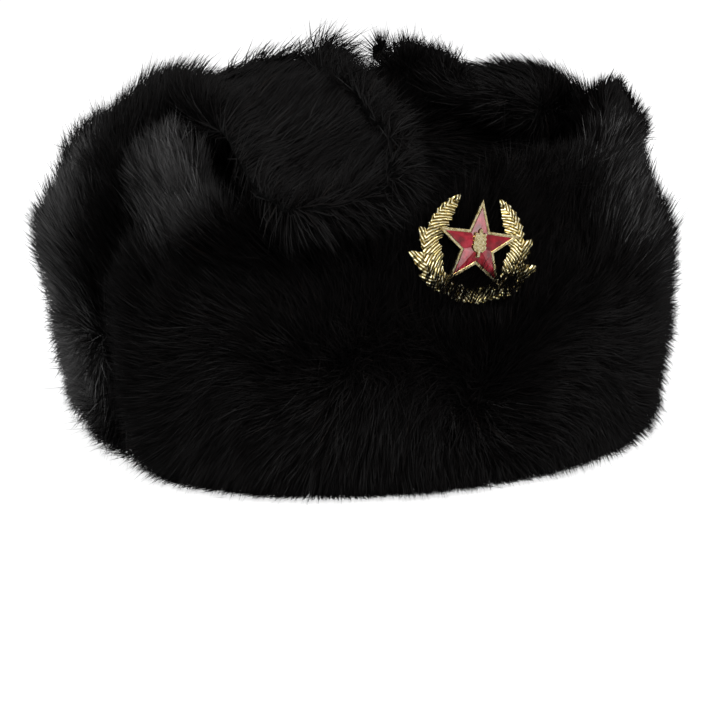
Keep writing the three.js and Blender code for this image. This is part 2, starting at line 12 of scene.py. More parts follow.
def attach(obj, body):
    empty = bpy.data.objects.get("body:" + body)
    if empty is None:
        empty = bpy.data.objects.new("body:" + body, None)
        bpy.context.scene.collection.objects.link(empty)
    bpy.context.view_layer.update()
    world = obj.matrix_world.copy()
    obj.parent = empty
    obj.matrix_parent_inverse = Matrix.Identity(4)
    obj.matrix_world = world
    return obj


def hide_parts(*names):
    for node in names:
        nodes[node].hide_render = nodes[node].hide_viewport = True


MM = 0.001
UP = np.array([0, 0, 1.0])
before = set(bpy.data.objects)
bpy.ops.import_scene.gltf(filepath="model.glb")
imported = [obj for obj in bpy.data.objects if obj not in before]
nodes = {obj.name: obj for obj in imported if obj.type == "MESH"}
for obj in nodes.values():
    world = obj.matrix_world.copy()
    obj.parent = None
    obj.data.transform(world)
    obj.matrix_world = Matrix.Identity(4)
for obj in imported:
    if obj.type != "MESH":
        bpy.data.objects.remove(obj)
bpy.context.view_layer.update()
random = np.random.default_rng(1957)


def linear(hex_colour):
    """A colour written as sRGB hex, as the linear values that a shader takes."""
    channels = [int(hex_colour[k:k + 2], 16) / 255 for k in (1, 3, 5)]
    return [c / 12.92 if c <= 0.04045 else ((c + 0.055) / 1.055) ** 2.4 for c in channels] + [1.0]


def add_node(tree, kind, settings=None, links=None, stops=()):
    """Adds a node with its settings (attributes or input values), its links (input to output socket) and, for
    a colour ramp, its stops (position and hex colour)."""
    node = tree.nodes.new(kind)
    for k, (position, colour) in enumerate(stops):
        stop = node.color_ramp.elements[k] if k < 2 else node.color_ramp.elements.new(position)
        stop.position = position
        stop.color = linear(colour)
    for key, value in (settings or {}).items():
        if isinstance(key, int) or key in node.inputs:
            node.inputs[key].default_value = value
        else:
            setattr(node, key, value)
    for key, socket in (links or {}).items():
        tree.links.new(socket, node.inputs[key])
    return node


def new_material(name):
    material = bpy.data.materials.new(name)
    material.use_nodes = True
    tree = material.node_tree
    tree.nodes.clear()
    output = add_node(tree, "ShaderNodeOutputMaterial")
    shader = add_node(tree, "ShaderNodeBsdfPrincipled")
    tree.links.new(shader.outputs["BSDF"], output.inputs["Surface"])
    return material, tree, shader


def smooth(start, end, value):
    """0 up to start, 1 from end on, smooth between them; end may be the smaller one."""
    share = np.clip((value - start) / (end - start), 0, 1)
    return share * share * (3 - 2 * share)


def unit(vectors):
    return vectors / np.maximum(np.linalg.norm(vectors, axis=-1, keepdims=True), 1e-12)


# Camera, floor and light

VIEW_AZIMUTH = math.radians(-19.5)
VIEW_HEIGHT = math.radians(12)
VIEW_ROLL = math.radians(-2.5)
VIEW_DISTANCE = 1.45
PHOTO_SIZE = 720
PHOTO_SCALE = 2410.0  # pixels per metre at the hat's middle
HAT_MIDDLE_PIXEL = (352.0, 424.0)  # where the point under the hat's middle is seen


def set_camera():
    towards = Vector((
        math.sin(VIEW_AZIMUTH) * math.cos(VIEW_HEIGHT),
        -math.cos(VIEW_AZIMUTH) * math.cos(VIEW_HEIGHT),
        math.sin(VIEW_HEIGHT),
    ))
    right = Vector((math.cos(VIEW_AZIMUTH), math.sin(VIEW_AZIMUTH), 0))
    up = towards.cross(right)
    across = (PHOTO_SIZE / 2 - HAT_MIDDLE_PIXEL[0]) / PHOTO_SCALE
    above = (HAT_MIDDLE_PIXEL[1] - PHOTO_SIZE / 2) / PHOTO_SCALE
    aim = right * across + up * above
    turn = Matrix((right, up, towards)).transposed().to_4x4() @ Matrix.Rotation(VIEW_ROLL, 4, "Z")
    lens = bpy.data.cameras.new("camera")
    lens.sensor_width = 36
    lens.lens = 36 * PHOTO_SCALE * VIEW_DISTANCE / PHOTO_SIZE
    lens.clip_end = 20
    camera = bpy.data.objects.new("camera", lens)
    camera.matrix_world = Matrix.Translation(aim + towards * VIEW_DISTANCE) @ turn
    bpy.context.scene.collection.objects.link(camera)
    bpy.context.scene.camera = camera


FLOOR_SIZE = 6.0
FLOOR_GLOW = 0.85  # light that the table sends to the camera from below


def set_floor():
    """A light table: pale frosted acrylic, lit from below as product tables are."""
    material, tree, shader = new_material("pale_light_table")
    shader.inputs["Base Color"].default_value = linear("#b9b9ba")
    shader.inputs["Roughness"].default_value = 0.8
    shader.inputs["Specular IOR Level"].default_value = 0.2
    glow = add_node(tree, "ShaderNodeLightPath")
    shader.inputs["Emission Color"].default_value = linear("#ffffff")
    strength = add_node(tree, "ShaderNodeMath", {"operation": "MULTIPLY", 1: FLOOR_GLOW},
                        {0: glow.outputs["Is Camera Ray"]})
    tree.links.new(strength.outputs["Value"], shader.inputs["Emission Strength"])
    bm = bmesh.new()
    bmesh.ops.create_grid(bm, x_segments=1, y_segments=1, size=FLOOR_SIZE)
    mesh = bpy.data.meshes.new("floor")
    bm.to_mesh(mesh)
    bm.free()
    mesh.materials.append(material)
    floor = bpy.data.objects.new("floor", mesh)
    bpy.context.scene.collection.objects.link(floor)


WORLD_LIGHT = 0.3  # what the white room sends on the hat, less than the camera sees behind it
SOFT_LIGHTS = (
    # name, azimuth from the front, height, distance, width, watts
    ("front_light", 0, 30, 1.6, 1.0, 21),
    ("top_light", 160, 78, 1.5, 1.2, 5),
    ("left_rim_light", -112, 28, 1.5, 0.9, 9),
    ("right_rim_light", 72, 42, 1.5, 0.8, 2.5),
    ("badge_light", 42, 10, 1.4, 0.35, 3),
)


LIT_POINT = Vector((0, 0, 0.08))  # inside the hat, where all the lights point


def set_lights():
    for name, azimuth, height, distance, width, watts in SOFT_LIGHTS:
        turn, rise = math.radians(azimuth), math.radians(height)
        place = Vector((math.sin(turn) * math.cos(rise), -math.cos(turn) * math.cos(rise), math.sin(rise)))
        light = bpy.data.lights.new(name, "AREA")
        light.shape = "SQUARE"
        light.size = width
        light.energy = watts
        lamp = bpy.data.objects.new(name, light)
        lamp.location = LIT_POINT + place * distance
        lamp.rotation_euler = (-place).to_track_quat("-Z", "Y").to_euler()
        bpy.context.scene.collection.objects.link(lamp)
    world = bpy.data.worlds.new("studio")
    world.use_nodes = True
    tree = world.node_tree
    tree.nodes.clear()
    backdrop = add_node(tree, "ShaderNodeBackground", {"Color": linear("#ffffff"), "Strength": 1.0})
    fill = add_node(tree, "ShaderNodeBackground", {"Color": linear("#ffffff"), "Strength": WORLD_LIGHT})
    path = add_node(tree, "ShaderNodeLightPath")
    mix = add_node(tree, "ShaderNodeMixShader", links={
        0: path.outputs["Is Camera Ray"],
        1: fill.outputs["Background"],
        2: backdrop.outputs["Background"],
    })
    add_node(tree, "ShaderNodeOutputWorld", links={"Surface": mix.outputs["Shader"]})
    bpy.context.scene.world = world
    bpy.context.scene.view_settings.view_transform = "Standard"


# Materials

HAIR_KINDS = (
    # from dull to shining: name, colours from the darkest hair to the lightest, specular level, roughness
    # the lighter grey colours of the shinier kinds are painted sheen; their higher specular level is real
    # gloss
    ("standing_rabbit_hair", ((0.0, "#050404"), (0.75, "#0d0b0b"), (1.0, "#16110e")), 0.065, 0.5),
    ("rabbit_hair_faint_painted_sheen", ((0.0, "#201f1f"), (0.75, "#2b2a2a"), (1.0, "#322f2d")), 0.31, 0.45),
    ("rabbit_hair_half_painted_sheen", ((0.0, "#302f2f"), (0.75, "#3b3a3a"), (1.0, "#423f3d")), 0.55, 0.39),
    ("rabbit_hair_full_painted_sheen", ((0.0, "#3e3d3d"), (0.75, "#484747"), (1.0, "#504c49")), 0.8, 0.34),
)


def dyed_rabbit_hair(name, colours, shine, roughness):
    """Rabbit hair dyed black: nearly no colour of its own, browner in some hairs. Where it stands up it stays
    dull; in the given sleek places it has more specular gloss and a lighter grey colour, which is painted
    sheen."""
    material, tree, shader = new_material(name)
    shade = add_node(tree, "ShaderNodeAttribute", {"attribute_name": "hair_shade"})
    colour = add_node(tree, "ShaderNodeValToRGB", links={"Fac": shade.outputs["Fac"]}, stops=colours)
    tree.links.new(colour.outputs["Color"], shader.inputs["Base Color"])
    shader.inputs["Specular IOR Level"].default_value = shine
    shader.inputs["Roughness"].default_value = roughness
    shader.inputs["IOR"].default_value = 1.55
    return material


def black_underfur():
    """The short woolly underfur below the long hair: black and dull, so that gaps between hairs look deep."""
    material, tree, shader = new_material("black_underfur")
    place = add_node(tree, "ShaderNodeTexCoord")
    wool = add_node(tree, "ShaderNodeTexNoise", {"Scale": 1 / (3 * MM), "Detail": 4.0},
                    {"Vector": place.outputs["Object"]})
    colour = add_node(tree, "ShaderNodeValToRGB", links={"Fac": wool.outputs["Fac"]}, stops=(
        (0.3, "#020202"), (0.7, "#070707"),
    ))
    tree.links.new(colour.outputs["Color"], shader.inputs["Base Color"])
    bump = add_node(tree, "ShaderNodeBump", {"Strength": 0.6, "Distance": 1 * MM},
                    {"Height": wool.outputs["Fac"]})
    tree.links.new(bump.outputs["Normal"], shader.inputs["Normal"])
    shader.inputs["Roughness"].default_value = 0.95
    shader.inputs["Specular IOR Level"].default_value = 0.05
    return material


TWILL_PITCH = 1.2 * MM  # twice the real rib, so that it still shows from arm's length


def black_cotton_twill():
    """The plain cloth inside the crown: matt black cotton with the fine slanting ribs of a twill."""
    material, tree, shader = new_material("black_cotton_twill")
    place = add_node(tree, "ShaderNodeTexCoord")
    ribs = add_node(tree, "ShaderNodeTexWave", {
        "wave_type": "BANDS", "bands_direction": "DIAGONAL", "Scale": 0.5 / (TWILL_PITCH * math.sqrt(3)),
        "Distortion": 0.6, "Detail": 1.0,
    }, {"Vector": place.outputs["Object"]})
    colour = add_node(tree, "ShaderNodeValToRGB", links={"Fac": ribs.outputs["Fac"]}, stops=(
        (0.0, "#0b0b0c"), (1.0, "#1e1e21"),
    ))
    tree.links.new(colour.outputs["Color"], shader.inputs["Base Color"])
    bump = add_node(tree, "ShaderNodeBump", {"Strength": 0.5, "Distance": 0.2 * MM},
                    {"Height": ribs.outputs["Fac"]})
    tree.links.new(bump.outputs["Normal"], shader.inputs["Normal"])
    shader.inputs["Roughness"].default_value = 0.9
    shader.inputs["Specular IOR Level"].default_value = 0.25
    return material


BRAID_PITCH = 0.8 * MM


def braided_cotton_lace():
    """A round black lace of braided cotton: small slanting stitches, matt, with a slight wax sheen."""
    material, tree, shader = new_material("braided_cotton_lace")
    place = add_node(tree, "ShaderNodeTexCoord")
    stitches = add_node(tree, "ShaderNodeTexWave", {
        "wave_type": "BANDS", "bands_direction": "DIAGONAL", "Scale": 0.5 / (BRAID_PITCH * math.sqrt(3)),
        "Distortion": 1.5, "Detail": 1.0,
    }, {"Vector": place.outputs["Object"]})
    colour = add_node(tree, "ShaderNodeValToRGB", links={"Fac": stitches.outputs["Fac"]}, stops=(
        (0.0, "#060607"), (1.0, "#19191b"),
    ))
    tree.links.new(colour.outputs["Color"], shader.inputs["Base Color"])
    bump = add_node(tree, "ShaderNodeBump", {"Strength": 0.8, "Distance": 0.25 * MM},
                    {"Height": stitches.outputs["Fac"]})
    tree.links.new(bump.outputs["Normal"], shader.inputs["Normal"])
    shader.inputs["Roughness"].default_value = 0.75
    shader.inputs["Specular IOR Level"].default_value = 0.2
    return material


BARB_PITCH = 1.7 * MM
BARB_SLANT = 1.1  # how far the barbs lean along the branch for each step outwards
BRANCH_RADIUS = 19.5 * MM


def stamped_gilt_brass():
    """Stamped brass under a thin gilt wash: pale yellow gold, lighter on the raised barbs of the leaves
    and brown between them: painted highlight and painted shade that follow the barbs, with random wear."""
    material, tree, shader = new_material("stamped_gilt_brass")
    place = add_node(tree, "ShaderNodeTexCoord")
    centred = add_node(tree, "ShaderNodeVectorMath", {"operation": "SUBTRACT", 1: tuple(BADGE_MIDDLE)},
                       {0: place.outputs["Object"]})
    flat = add_node(tree, "ShaderNodeVectorMath", {"operation": "MULTIPLY", 1: (1, 0, 1)},
                    {0: centred.outputs["Vector"]})
    axes = add_node(tree, "ShaderNodeSeparateXYZ", links={"Vector": flat.outputs["Vector"]})
    angle = add_node(tree, "ShaderNodeMath", {"operation": "ARCTAN2"},
                     {0: axes.outputs["X"], 1: axes.outputs["Z"]})
    branch = add_node(tree, "ShaderNodeMath", {"operation": "ABSOLUTE"}, {0: angle.outputs["Value"]})
    along = add_node(tree, "ShaderNodeMath", {"operation": "MULTIPLY", 1: BRANCH_RADIUS},
                     {0: branch.outputs["Value"]})
    radius = add_node(tree, "ShaderNodeVectorMath", {"operation": "LENGTH"}, {0: flat.outputs["Vector"]})
    off_middle = add_node(tree, "ShaderNodeMath", {"operation": "SUBTRACT", 1: BRANCH_RADIUS},
                          {0: radius.outputs["Value"]})
    sideways = add_node(tree, "ShaderNodeMath", {"operation": "ABSOLUTE"}, {0: off_middle.outputs["Value"]})
    slanted = add_node(tree, "ShaderNodeMath", {"operation": "MULTIPLY_ADD", 1: BARB_SLANT},
                       {0: sideways.outputs["Value"], 2: along.outputs["Value"]})
    turns = add_node(tree, "ShaderNodeMath", {"operation": "MULTIPLY", 1: 2 * math.pi / BARB_PITCH},
                     {0: slanted.outputs["Value"]})
    wave = add_node(tree, "ShaderNodeMath", {"operation": "SINE"}, {0: turns.outputs["Value"]})
    barbs = add_node(tree, "ShaderNodeMath", {"operation": "MULTIPLY_ADD", 1: 0.5, 2: 0.5},
                     {0: wave.outputs["Value"]})
    wear = add_node(tree, "ShaderNodeTexNoise", {"Scale": 1 / (2.5 * MM), "Detail": 3.0},
                    {"Vector": place.outputs["Object"]})
    worn = add_node(tree, "ShaderNodeMath", {"operation": "MULTIPLY_ADD", 1: 0.5, 2: -0.25},
                    {0: wear.outputs["Fac"]})
    height = add_node(tree, "ShaderNodeMath", {"operation": "ADD"},
                      {0: barbs.outputs["Value"], 1: worn.outputs["Value"]})
    # the colour follows the barbs: painted highlight on them and painted shade between them; the noise on top
    # is wear
    colour = add_node(tree, "ShaderNodeValToRGB", links={"Fac": height.outputs["Value"]}, stops=(
        (0.08, "#55441f"), (0.32, "#c6ab5c"), (0.6, "#f5e49c"), (1.0, "#fff8da"),
    ))
    tree.links.new(colour.outputs["Color"], shader.inputs["Base Color"])
    bump = add_node(tree, "ShaderNodeBump", {"Strength": 0.9, "Distance": 0.35 * MM},
                    {"Height": barbs.outputs["Value"]})
    tree.links.new(bump.outputs["Normal"], shader.inputs["Normal"])
    shader.inputs["Metallic"].default_value = 1.0
    shader.inputs["Roughness"].default_value = 0.3
    return material


def polished_gilt_edge():
    """The star's bare edge and its grain ear: brass polished through the gilt, pale, with fine wear."""
    material, tree, shader = new_material("polished_gilt_edge")
    place = add_node(tree, "ShaderNodeTexCoord")
    wear = add_node(tree, "ShaderNodeTexNoise", {"Scale": 1 / (1.2 * MM), "Detail": 4.0},
                    {"Vector": place.outputs["Object"]})
    colour = add_node(tree, "ShaderNodeValToRGB", links={"Fac": wear.outputs["Fac"]}, stops=(
        (0.3, "#97804a"), (0.5, "#dccb99"), (0.75, "#f6eed4"),
    ))
    tree.links.new(colour.outputs["Color"], shader.inputs["Base Color"])
    bump = add_node(tree, "ShaderNodeBump", {"Strength": 0.4, "Distance": 0.1 * MM},
                    {"Height": wear.outputs["Fac"]})
    tree.links.new(bump.outputs["Normal"], shader.inputs["Normal"])
    shader.inputs["Metallic"].default_value = 1.0
    shader.inputs["Roughness"].default_value = 0.26
    return material


def cherry_red_enamel():
    """Vitreous enamel fired into the star: deep cherry red under a glassy top, a little cloudy and uneven."""
    material, tree, shader = new_material("cherry_red_enamel")
    place = add_node(tree, "ShaderNodeTexCoord")
    cloud = add_node(tree, "ShaderNodeTexNoise", {"Scale": 1 / (4 * MM), "Detail": 3.0},
                     {"Vector": place.outputs["Object"]})
    colour = add_node(tree, "ShaderNodeValToRGB", links={"Fac": cloud.outputs["Fac"]}, stops=(
        (0.3, "#4a050d"), (0.5, "#7d0b19"), (0.72, "#a92236"),
    ))
    tree.links.new(colour.outputs["Color"], shader.inputs["Base Color"])
    ripple = add_node(tree, "ShaderNodeBump", {"Strength": 0.25, "Distance": 0.15 * MM},
                      {"Height": cloud.outputs["Fac"]})
    tree.links.new(ripple.outputs["Normal"], shader.inputs["Normal"])
    shader.inputs["Roughness"].default_value = 0.16
    shader.inputs["IOR"].default_value = 1.52
    return material


def steel_post_in_painted_shade():
    """Steel of the hidden post, painted dark grey and dull as the shade it sits in, so that the fur hides it.
    """
    material, tree, shader = new_material("steel_post_in_painted_shade")
    place = add_node(tree, "ShaderNodeTexCoord")
    brush = add_node(tree, "ShaderNodeTexNoise", {"Scale": 1 / (0.6 * MM), "Detail": 2.0},
                     {"Vector": place.outputs["Object"]})
    colour = add_node(tree, "ShaderNodeValToRGB", links={"Fac": brush.outputs["Fac"]}, stops=(
        (0.3, "#121314"), (0.7, "#232426"),
    ))
    tree.links.new(colour.outputs["Color"], shader.inputs["Base Color"])
    shader.inputs["Metallic"].default_value = 1.0
    shader.inputs["Roughness"].default_value = 0.5
    return material


# The badge's own frame, from the CAD nodes: across the hat, up the flap and out of the fur

def node_points(name):
    mesh = nodes[name].data
    points = np.empty(len(mesh.vertices) * 3)
    mesh.vertices.foreach_get("co", points)
    return points.reshape(-1, 3)


BADGE_TILT = math.radians(6)
BADGE_UP = np.array([0, math.sin(BADGE_TILT), math.cos(BADGE_TILT)])
BADGE_OUT = np.array([0, -math.cos(BADGE_TILT), math.sin(BADGE_TILT)])
wreath_points = node_points("badge_wreath")
BADGE_MIDDLE = (wreath_points.min(axis=0) + wreath_points.max(axis=0)) / 2
BADGE_BACK = (wreath_points @ BADGE_OUT).min()
BADGE_CLEARING = np.array([25.0, 20.0]) * MM  # half sizes of the oval in which hair lies behind the badge
PRESSED_DEPTH = 1.0 * MM  # how far behind the badge it lies there
FOOT_COVER = (-9.5 * MM, -17 * MM)  # from here down more and more hairs stand before the wreath's foot
FOOT_STRAYS = 0.85  # the share of them that does, at most


def press_under_badge(paths):
    """Hairs that would cross the badge lie flat behind it; at its foot most of them stay in front."""
    place = paths - BADGE_MIDDLE
    across, up, out = place[:, :, 0], place @ BADGE_UP, paths @ BADGE_OUT
    inside = (across / BADGE_CLEARING[0]) ** 2 + (up / BADGE_CLEARING[1]) ** 2 < 1
    stray = random.random(paths.shape[1]) < FOOT_STRAYS * smooth(*FOOT_COVER, up[0])
    depth = BADGE_BACK - PRESSED_DEPTH
    beyond = np.where(inside & (out > depth) & ~stray, out - depth, 0)
    return paths - beyond[:, :, None] * BADGE_OUT


# Regions of the pelt: every point has a weight from 0 to 1 in each

TIE_PLACE = np.array([9, -36, 168]) * MM
CORNER_PLACE = np.array([98, -66, 150]) * MM  # where the hair of each upper corner of the front flap points
SIDE_GAP_PLACE = -42 * MM  # how far back the ends of the two flaps meet beside the crown
DROOP = 0.35  # the lobes' hair starts lower by this share of the way towards the front
DROOP_START = -60 * MM


def around_angle(points):
    """Direction of each point seen from above, in degrees from the front; negative on the wearer's right."""
    return np.degrees(np.arctan2(points[:, 0], -points[:, 1]))


def outwardness(points, normals):
    """1 where a surface faces away from the head, -1 where it faces the crown."""
    return np.sum(unit(points * np.array([1, 1, 0])) * normals, axis=1)


def nearest_corner(points):
    """The tuft of the front flap's upper corner on each point's own side."""
    sides = np.where(points[:, 0] < 0, -1, 1)
    return CORNER_PLACE * np.stack([sides, np.ones(len(points)), np.ones(len(points))], axis=1)


MEASURES = {
    # in mm, or in degrees round the hat from the front
    "left": lambda p: p[:, 0] / MM,
    "back": lambda p: p[:, 1] / MM,
    "height": lambda p: p[:, 2] / MM,
    "aside": lambda p: np.abs(p[:, 0]) / MM,
    "radius": lambda p: np.linalg.norm(p[:, :2], axis=1) / MM,
    "turn": lambda p: np.abs(around_angle(p)),
    "right_turn": lambda p: -around_angle(p),
    "lobe_height": lambda p: (p[:, 2] + DROOP * np.maximum(0, DROOP_START - p[:, 1])) / MM,
    "from_tie": lambda p: np.linalg.norm(p - TIE_PLACE, axis=1) / MM,
    "from_tie_above": lambda p: np.linalg.norm((p - TIE_PLACE)[:, :2], axis=1) / MM,
    "from_corner": lambda p: np.linalg.norm(nearest_corner(p) - p, axis=1) / MM,
    "from_side_gap": lambda p: np.abs(p[:, 1] - SIDE_GAP_PLACE) / MM,
    "beside_badge": lambda p: np.abs(p[:, 0] - BADGE_MIDDLE[0]) / MM,
    "above_badge": lambda p: (p - BADGE_MIDDLE) @ BADGE_UP / MM,
}

RIGHT, LEFT = ("left", 0.01, -0.01), ("left", -0.01, 0.01)  # the wearer's right and left half

REGIONS = {
    # limits: what is measured, where the weight is 0, where it is 1
    # the tips of the two ear lobes, where they are tied, and the crown below them
    "tie": (("from_tie_above", 38, 18),),
    "tips": (("from_tie", 60, 25),),
    "right_tip": (("from_tie", 48, 22), RIGHT),
    "left_tip": (("from_tie", 48, 22), LEFT),
    # the shoulders of the ear flap, above the ears, where the fur stands up high, and the dip behind them
    "shoulder": (("aside", 66, 82), ("height", 112, 126), ("turn", 100, 92)),
    "right_shoulder": (("aside", 66, 82), ("height", 112, 126), ("turn", 100, 92), RIGHT),
    "left_shoulder": (("aside", 66, 82), ("height", 112, 126), ("turn", 100, 92), LEFT),
    "behind_shoulder": (("turn", 98, 106), ("turn", 130, 118), ("height", 115, 128)),
    # the rear corners of the ear flap's rim, which sag a little
    "rear_corner": (("turn", 97, 105), ("turn", 138, 124), ("height", 92, 130), ("radius", 96, 106)),
    # low on the right side, where the fur is thin
    "right_flank": (("right_turn", 70, 85), ("right_turn", 140, 125), ("height", 90, 60)),
    # the lobes, where the hair turns level
    "ear_lobe": (("lobe_height", 96, 132),),
    # the lower front edge of the right ear lobe, which hangs over the front flap
    "drooping_edge": (("back", -88, -112), RIGHT, ("height", 89.99, 90.01)),
    # the pressed top of the front flap, where hair fills the chink below that lobe
    "under_lobe": (("left", -25, -40), ("left", -102, -90), ("height", 82, 92), ("height", 119, 113),
                   ("back", -80, -90)),
    # the chink beside the crown, where the ends of the two flaps meet
    "side_gap": (("aside", 66, 76), ("aside", 108, 98), ("from_side_gap", 30, 20), ("height", 60, 74)),
    # low down at the sides, where the hair of one flap crosses that of the other
    "low_ear_end": (("turn", 86, 76), ("height", 80, 45)),
    "low_front_end": (("turn", 60, 70), ("height", 80, 50)),
    # the upper corners of the front flap
    "corner_tuft": (("from_corner", 92, 30), ("height", 55, 85)),
    "left_corner": (("left", 66, 84), ("height", 108, 128)),
    # just below the badge, where the fur stands up before the foot of the wreath
    "badge_foot": (("beside_badge", 26, 15), ("above_badge", -32, -25), ("above_badge", -12, -17),
                   ("back", -99.99, -100.01)),
    # the hat's top and its lower rim
    "top": (("height", 100, 135),),
    "rim": (("height", 30, 5),),
}


def weight(region, points):
    """How far the points belong to a region, from 0 to 1."""
    fades = [smooth(none, full, MEASURES[measure](points)) for measure, none, full in REGIONS[region]]
    return np.prod(fades, axis=0)


def amount_at(points, amounts):
    """The amounts of a table, each by the weight of its region."""
    return sum(amount * weight(region, points) for region, amount in amounts)


# Underfur: a dark pelt takes the place of each soft CAD node

INWARD, OUTWARD = -0.25, 0.35  # a surface that faces in keeps its place, one that faces out is sunk
EDGE_SINK = 0.5  # the least share of the depth by which the drooping edge is sunk on all sides
REAR_CORNER_DROP = 9 * MM


def shell_arrays(shell):
    mesh = shell.data
    mesh.calc_loop_triangles()
    points = np.empty(len(mesh.vertices) * 3)
    mesh.vertices.foreach_get("co", points)
    normals = np.empty(len(mesh.vertices) * 3)
    mesh.vertices.foreach_get("normal", normals)
    triangles = np.empty(len(mesh.loop_triangles) * 3, np.int32)
    mesh.loop_triangles.foreach_get("vertices", triangles)
    return points.reshape(-1, 3), normals.reshape(-1, 3), triangles.reshape(-1, 3)


def depth_share(points):
    """How deep the pelt lies below the outer form, as a share of its usual depth: less on the shoulders of
    the ear flap, at the tie and beside the crown, where the fur is thick, and more low on the right flank."""
    share = 1 + 0.6 * weight("right_flank", points) - 0.5 * weight("shoulder", points)
    return share * (1 - 0.4 * weight("tie", points)) * (1 - 0.7 * weight("side_gap", points))


def pelt_shell(name, node, voxel, inset):
    """A smooth underfur inside the outer form of a CAD node: deep below the fur, close to it at the back."""
    mesh = nodes[node].data.copy()
    shell = bpy.data.objects.new(name, mesh)
    bpy.context.scene.collection.objects.link(shell)
    bm = bmesh.new()
    bm.from_mesh(mesh)
    bmesh.ops.remove_doubles(bm, verts=bm.verts, dist=0.01 * MM)
    bm.to_mesh(mesh)
    bm.free()
    remesh = shell.modifiers.new("remesh", "REMESH")
    remesh.mode = "VOXEL"
    remesh.voxel_size = voxel
    soften = shell.modifiers.new("soften", "SMOOTH")
    soften.factor = 0.6
    soften.iterations = 12
    bpy.context.view_layer.update()
    evaluated = shell.evaluated_get(bpy.context.evaluated_depsgraph_get())
    finished = bpy.data.meshes.new_from_object(evaluated)
    shell.modifiers.clear()
    shell.data = finished
    finished.name = name
    finished.materials.clear()
    finished.polygons.foreach_set("use_smooth", [True] * len(finished.polygons))
    points, normals, _ = shell_arrays(shell)
    faces_out = smooth(INWARD, OUTWARD, np.maximum(outwardness(points, normals), normals[:, 2]))
    faces_out = np.maximum(faces_out, EDGE_SINK * weight("drooping_edge", points))
    sunk = points - normals * (inset * faces_out * depth_share(points))[:, None]
    sunk[:, 2] -= REAR_CORNER_DROP * weight("rear_corner", points)
    finished.vertices.foreach_set("co", sunk.astype(np.float32).ravel())
    finished.update()
    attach(shell, "root")
    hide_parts(node)
    return shell


# Hair: how it is made

SWIRL_WAVES = 5
SWIRL_SUM = 2.2  # about how large the sum of the waves gets
FLOW_SCATTER = 0.24  # how far single hairs stray from the comb, as a share of it
ROOT_LIFT = 0.15  # how much steeper a hair leaves the skin
TIP_FLOW = 1.1
TIP_LIFT = 0.7  # the share of its lift that a hair keeps at the tip
TWIST = 0.7  # spread of the angle by which the strips turn round themselves
TAPER = 0.45  # how much narrower a strip gets before its tip
ROWS = 3  # points along a hair
LOCK_CURVE = 1.4  # how late along a hair the pull of its lock sets in


def swirl(points, size, seed):
    """A smooth wandering vector, about size metres from one change of direction to the next."""
    waves = np.random.default_rng(seed)
    total = np.zeros_like(points)
    for _ in range(SWIRL_WAVES):
        direction = unit(waves.normal(size=3))
        phase = points @ direction * (2 * math.pi / (size * waves.uniform(0.7, 1.6)))
        total += np.sin(phase[:, None] + waves.uniform(0, 2 * math.pi, 3)) * waves.normal(size=3)
    return total / SWIRL_SUM


def scatter(shell, count, keep):
    """Points spread evenly where keep(points, normals) is above zero, and the shell's normals there."""
    points, normals, triangles = shell_arrays(shell)
    corners = points[triangles]
    area = np.linalg.norm(np.cross(corners[:, 1] - corners[:, 0], corners[:, 2] - corners[:, 0]), axis=1) / 2
    share = area * keep(corners.mean(axis=1), unit(normals[triangles].mean(axis=1)))
    chosen = random.choice(len(triangles), size=count, p=share / share.sum())
    a, b = random.random(count), random.random(count)
    flip = a + b > 1
    a[flip] = 1 - a[flip]
    b[flip] = 1 - b[flip]
    mix = np.stack([1 - a - b, a, b], axis=1)[:, :, None]
    return (corners[chosen] * mix).sum(axis=1), unit((normals[triangles[chosen]] * mix).sum(axis=1))


def hair_paths(roots, normals, comb, lift, length, droop):
    """Points along each hair, as an array of rows x hairs x 3."""
    flow = comb + FLOW_SCATTER * random.normal(size=roots.shape)
    flow = unit(flow - normals * np.sum(flow * normals, axis=1, keepdims=True))
    lift = lift[:, None]
    start = unit(flow * (1 - lift) + normals * (lift + ROOT_LIFT))
    end = unit(flow * (TIP_FLOW - lift) + normals * lift * TIP_LIFT - UP * droop)
    paths = [roots]
    step = (length / (ROWS - 1))[:, None]
    for row in range(1, ROWS):
        share = (row - 0.5) / (ROWS - 1)
        paths.append(paths[-1] + step * unit(start * (1 - share) + end * share))
    return np.stack(paths)


def gather_locks(paths, size, pull):
    """Draws the tips of neighbouring hairs together, size hairs to a lock."""
    rows, count = paths.shape[:2]
    seeds = random.choice(count, size=max(1, int(count / size)), replace=False)
    tree = kdtree.KDTree(len(seeds))
    for k, seed in enumerate(seeds):
        tree.insert(paths[0][seed], k)
    tree.balance()
    nearest = seeds[[tree.find(root)[1] for root in paths[0]]]
    strength = pull * random.uniform(0.3, 1, count)
    for row in range(1, rows):
        share = (row / (rows - 1)) ** LOCK_CURVE
        paths[row] += (paths[row][nearest] - paths[row]) * (share * strength)[:, None]
    return paths


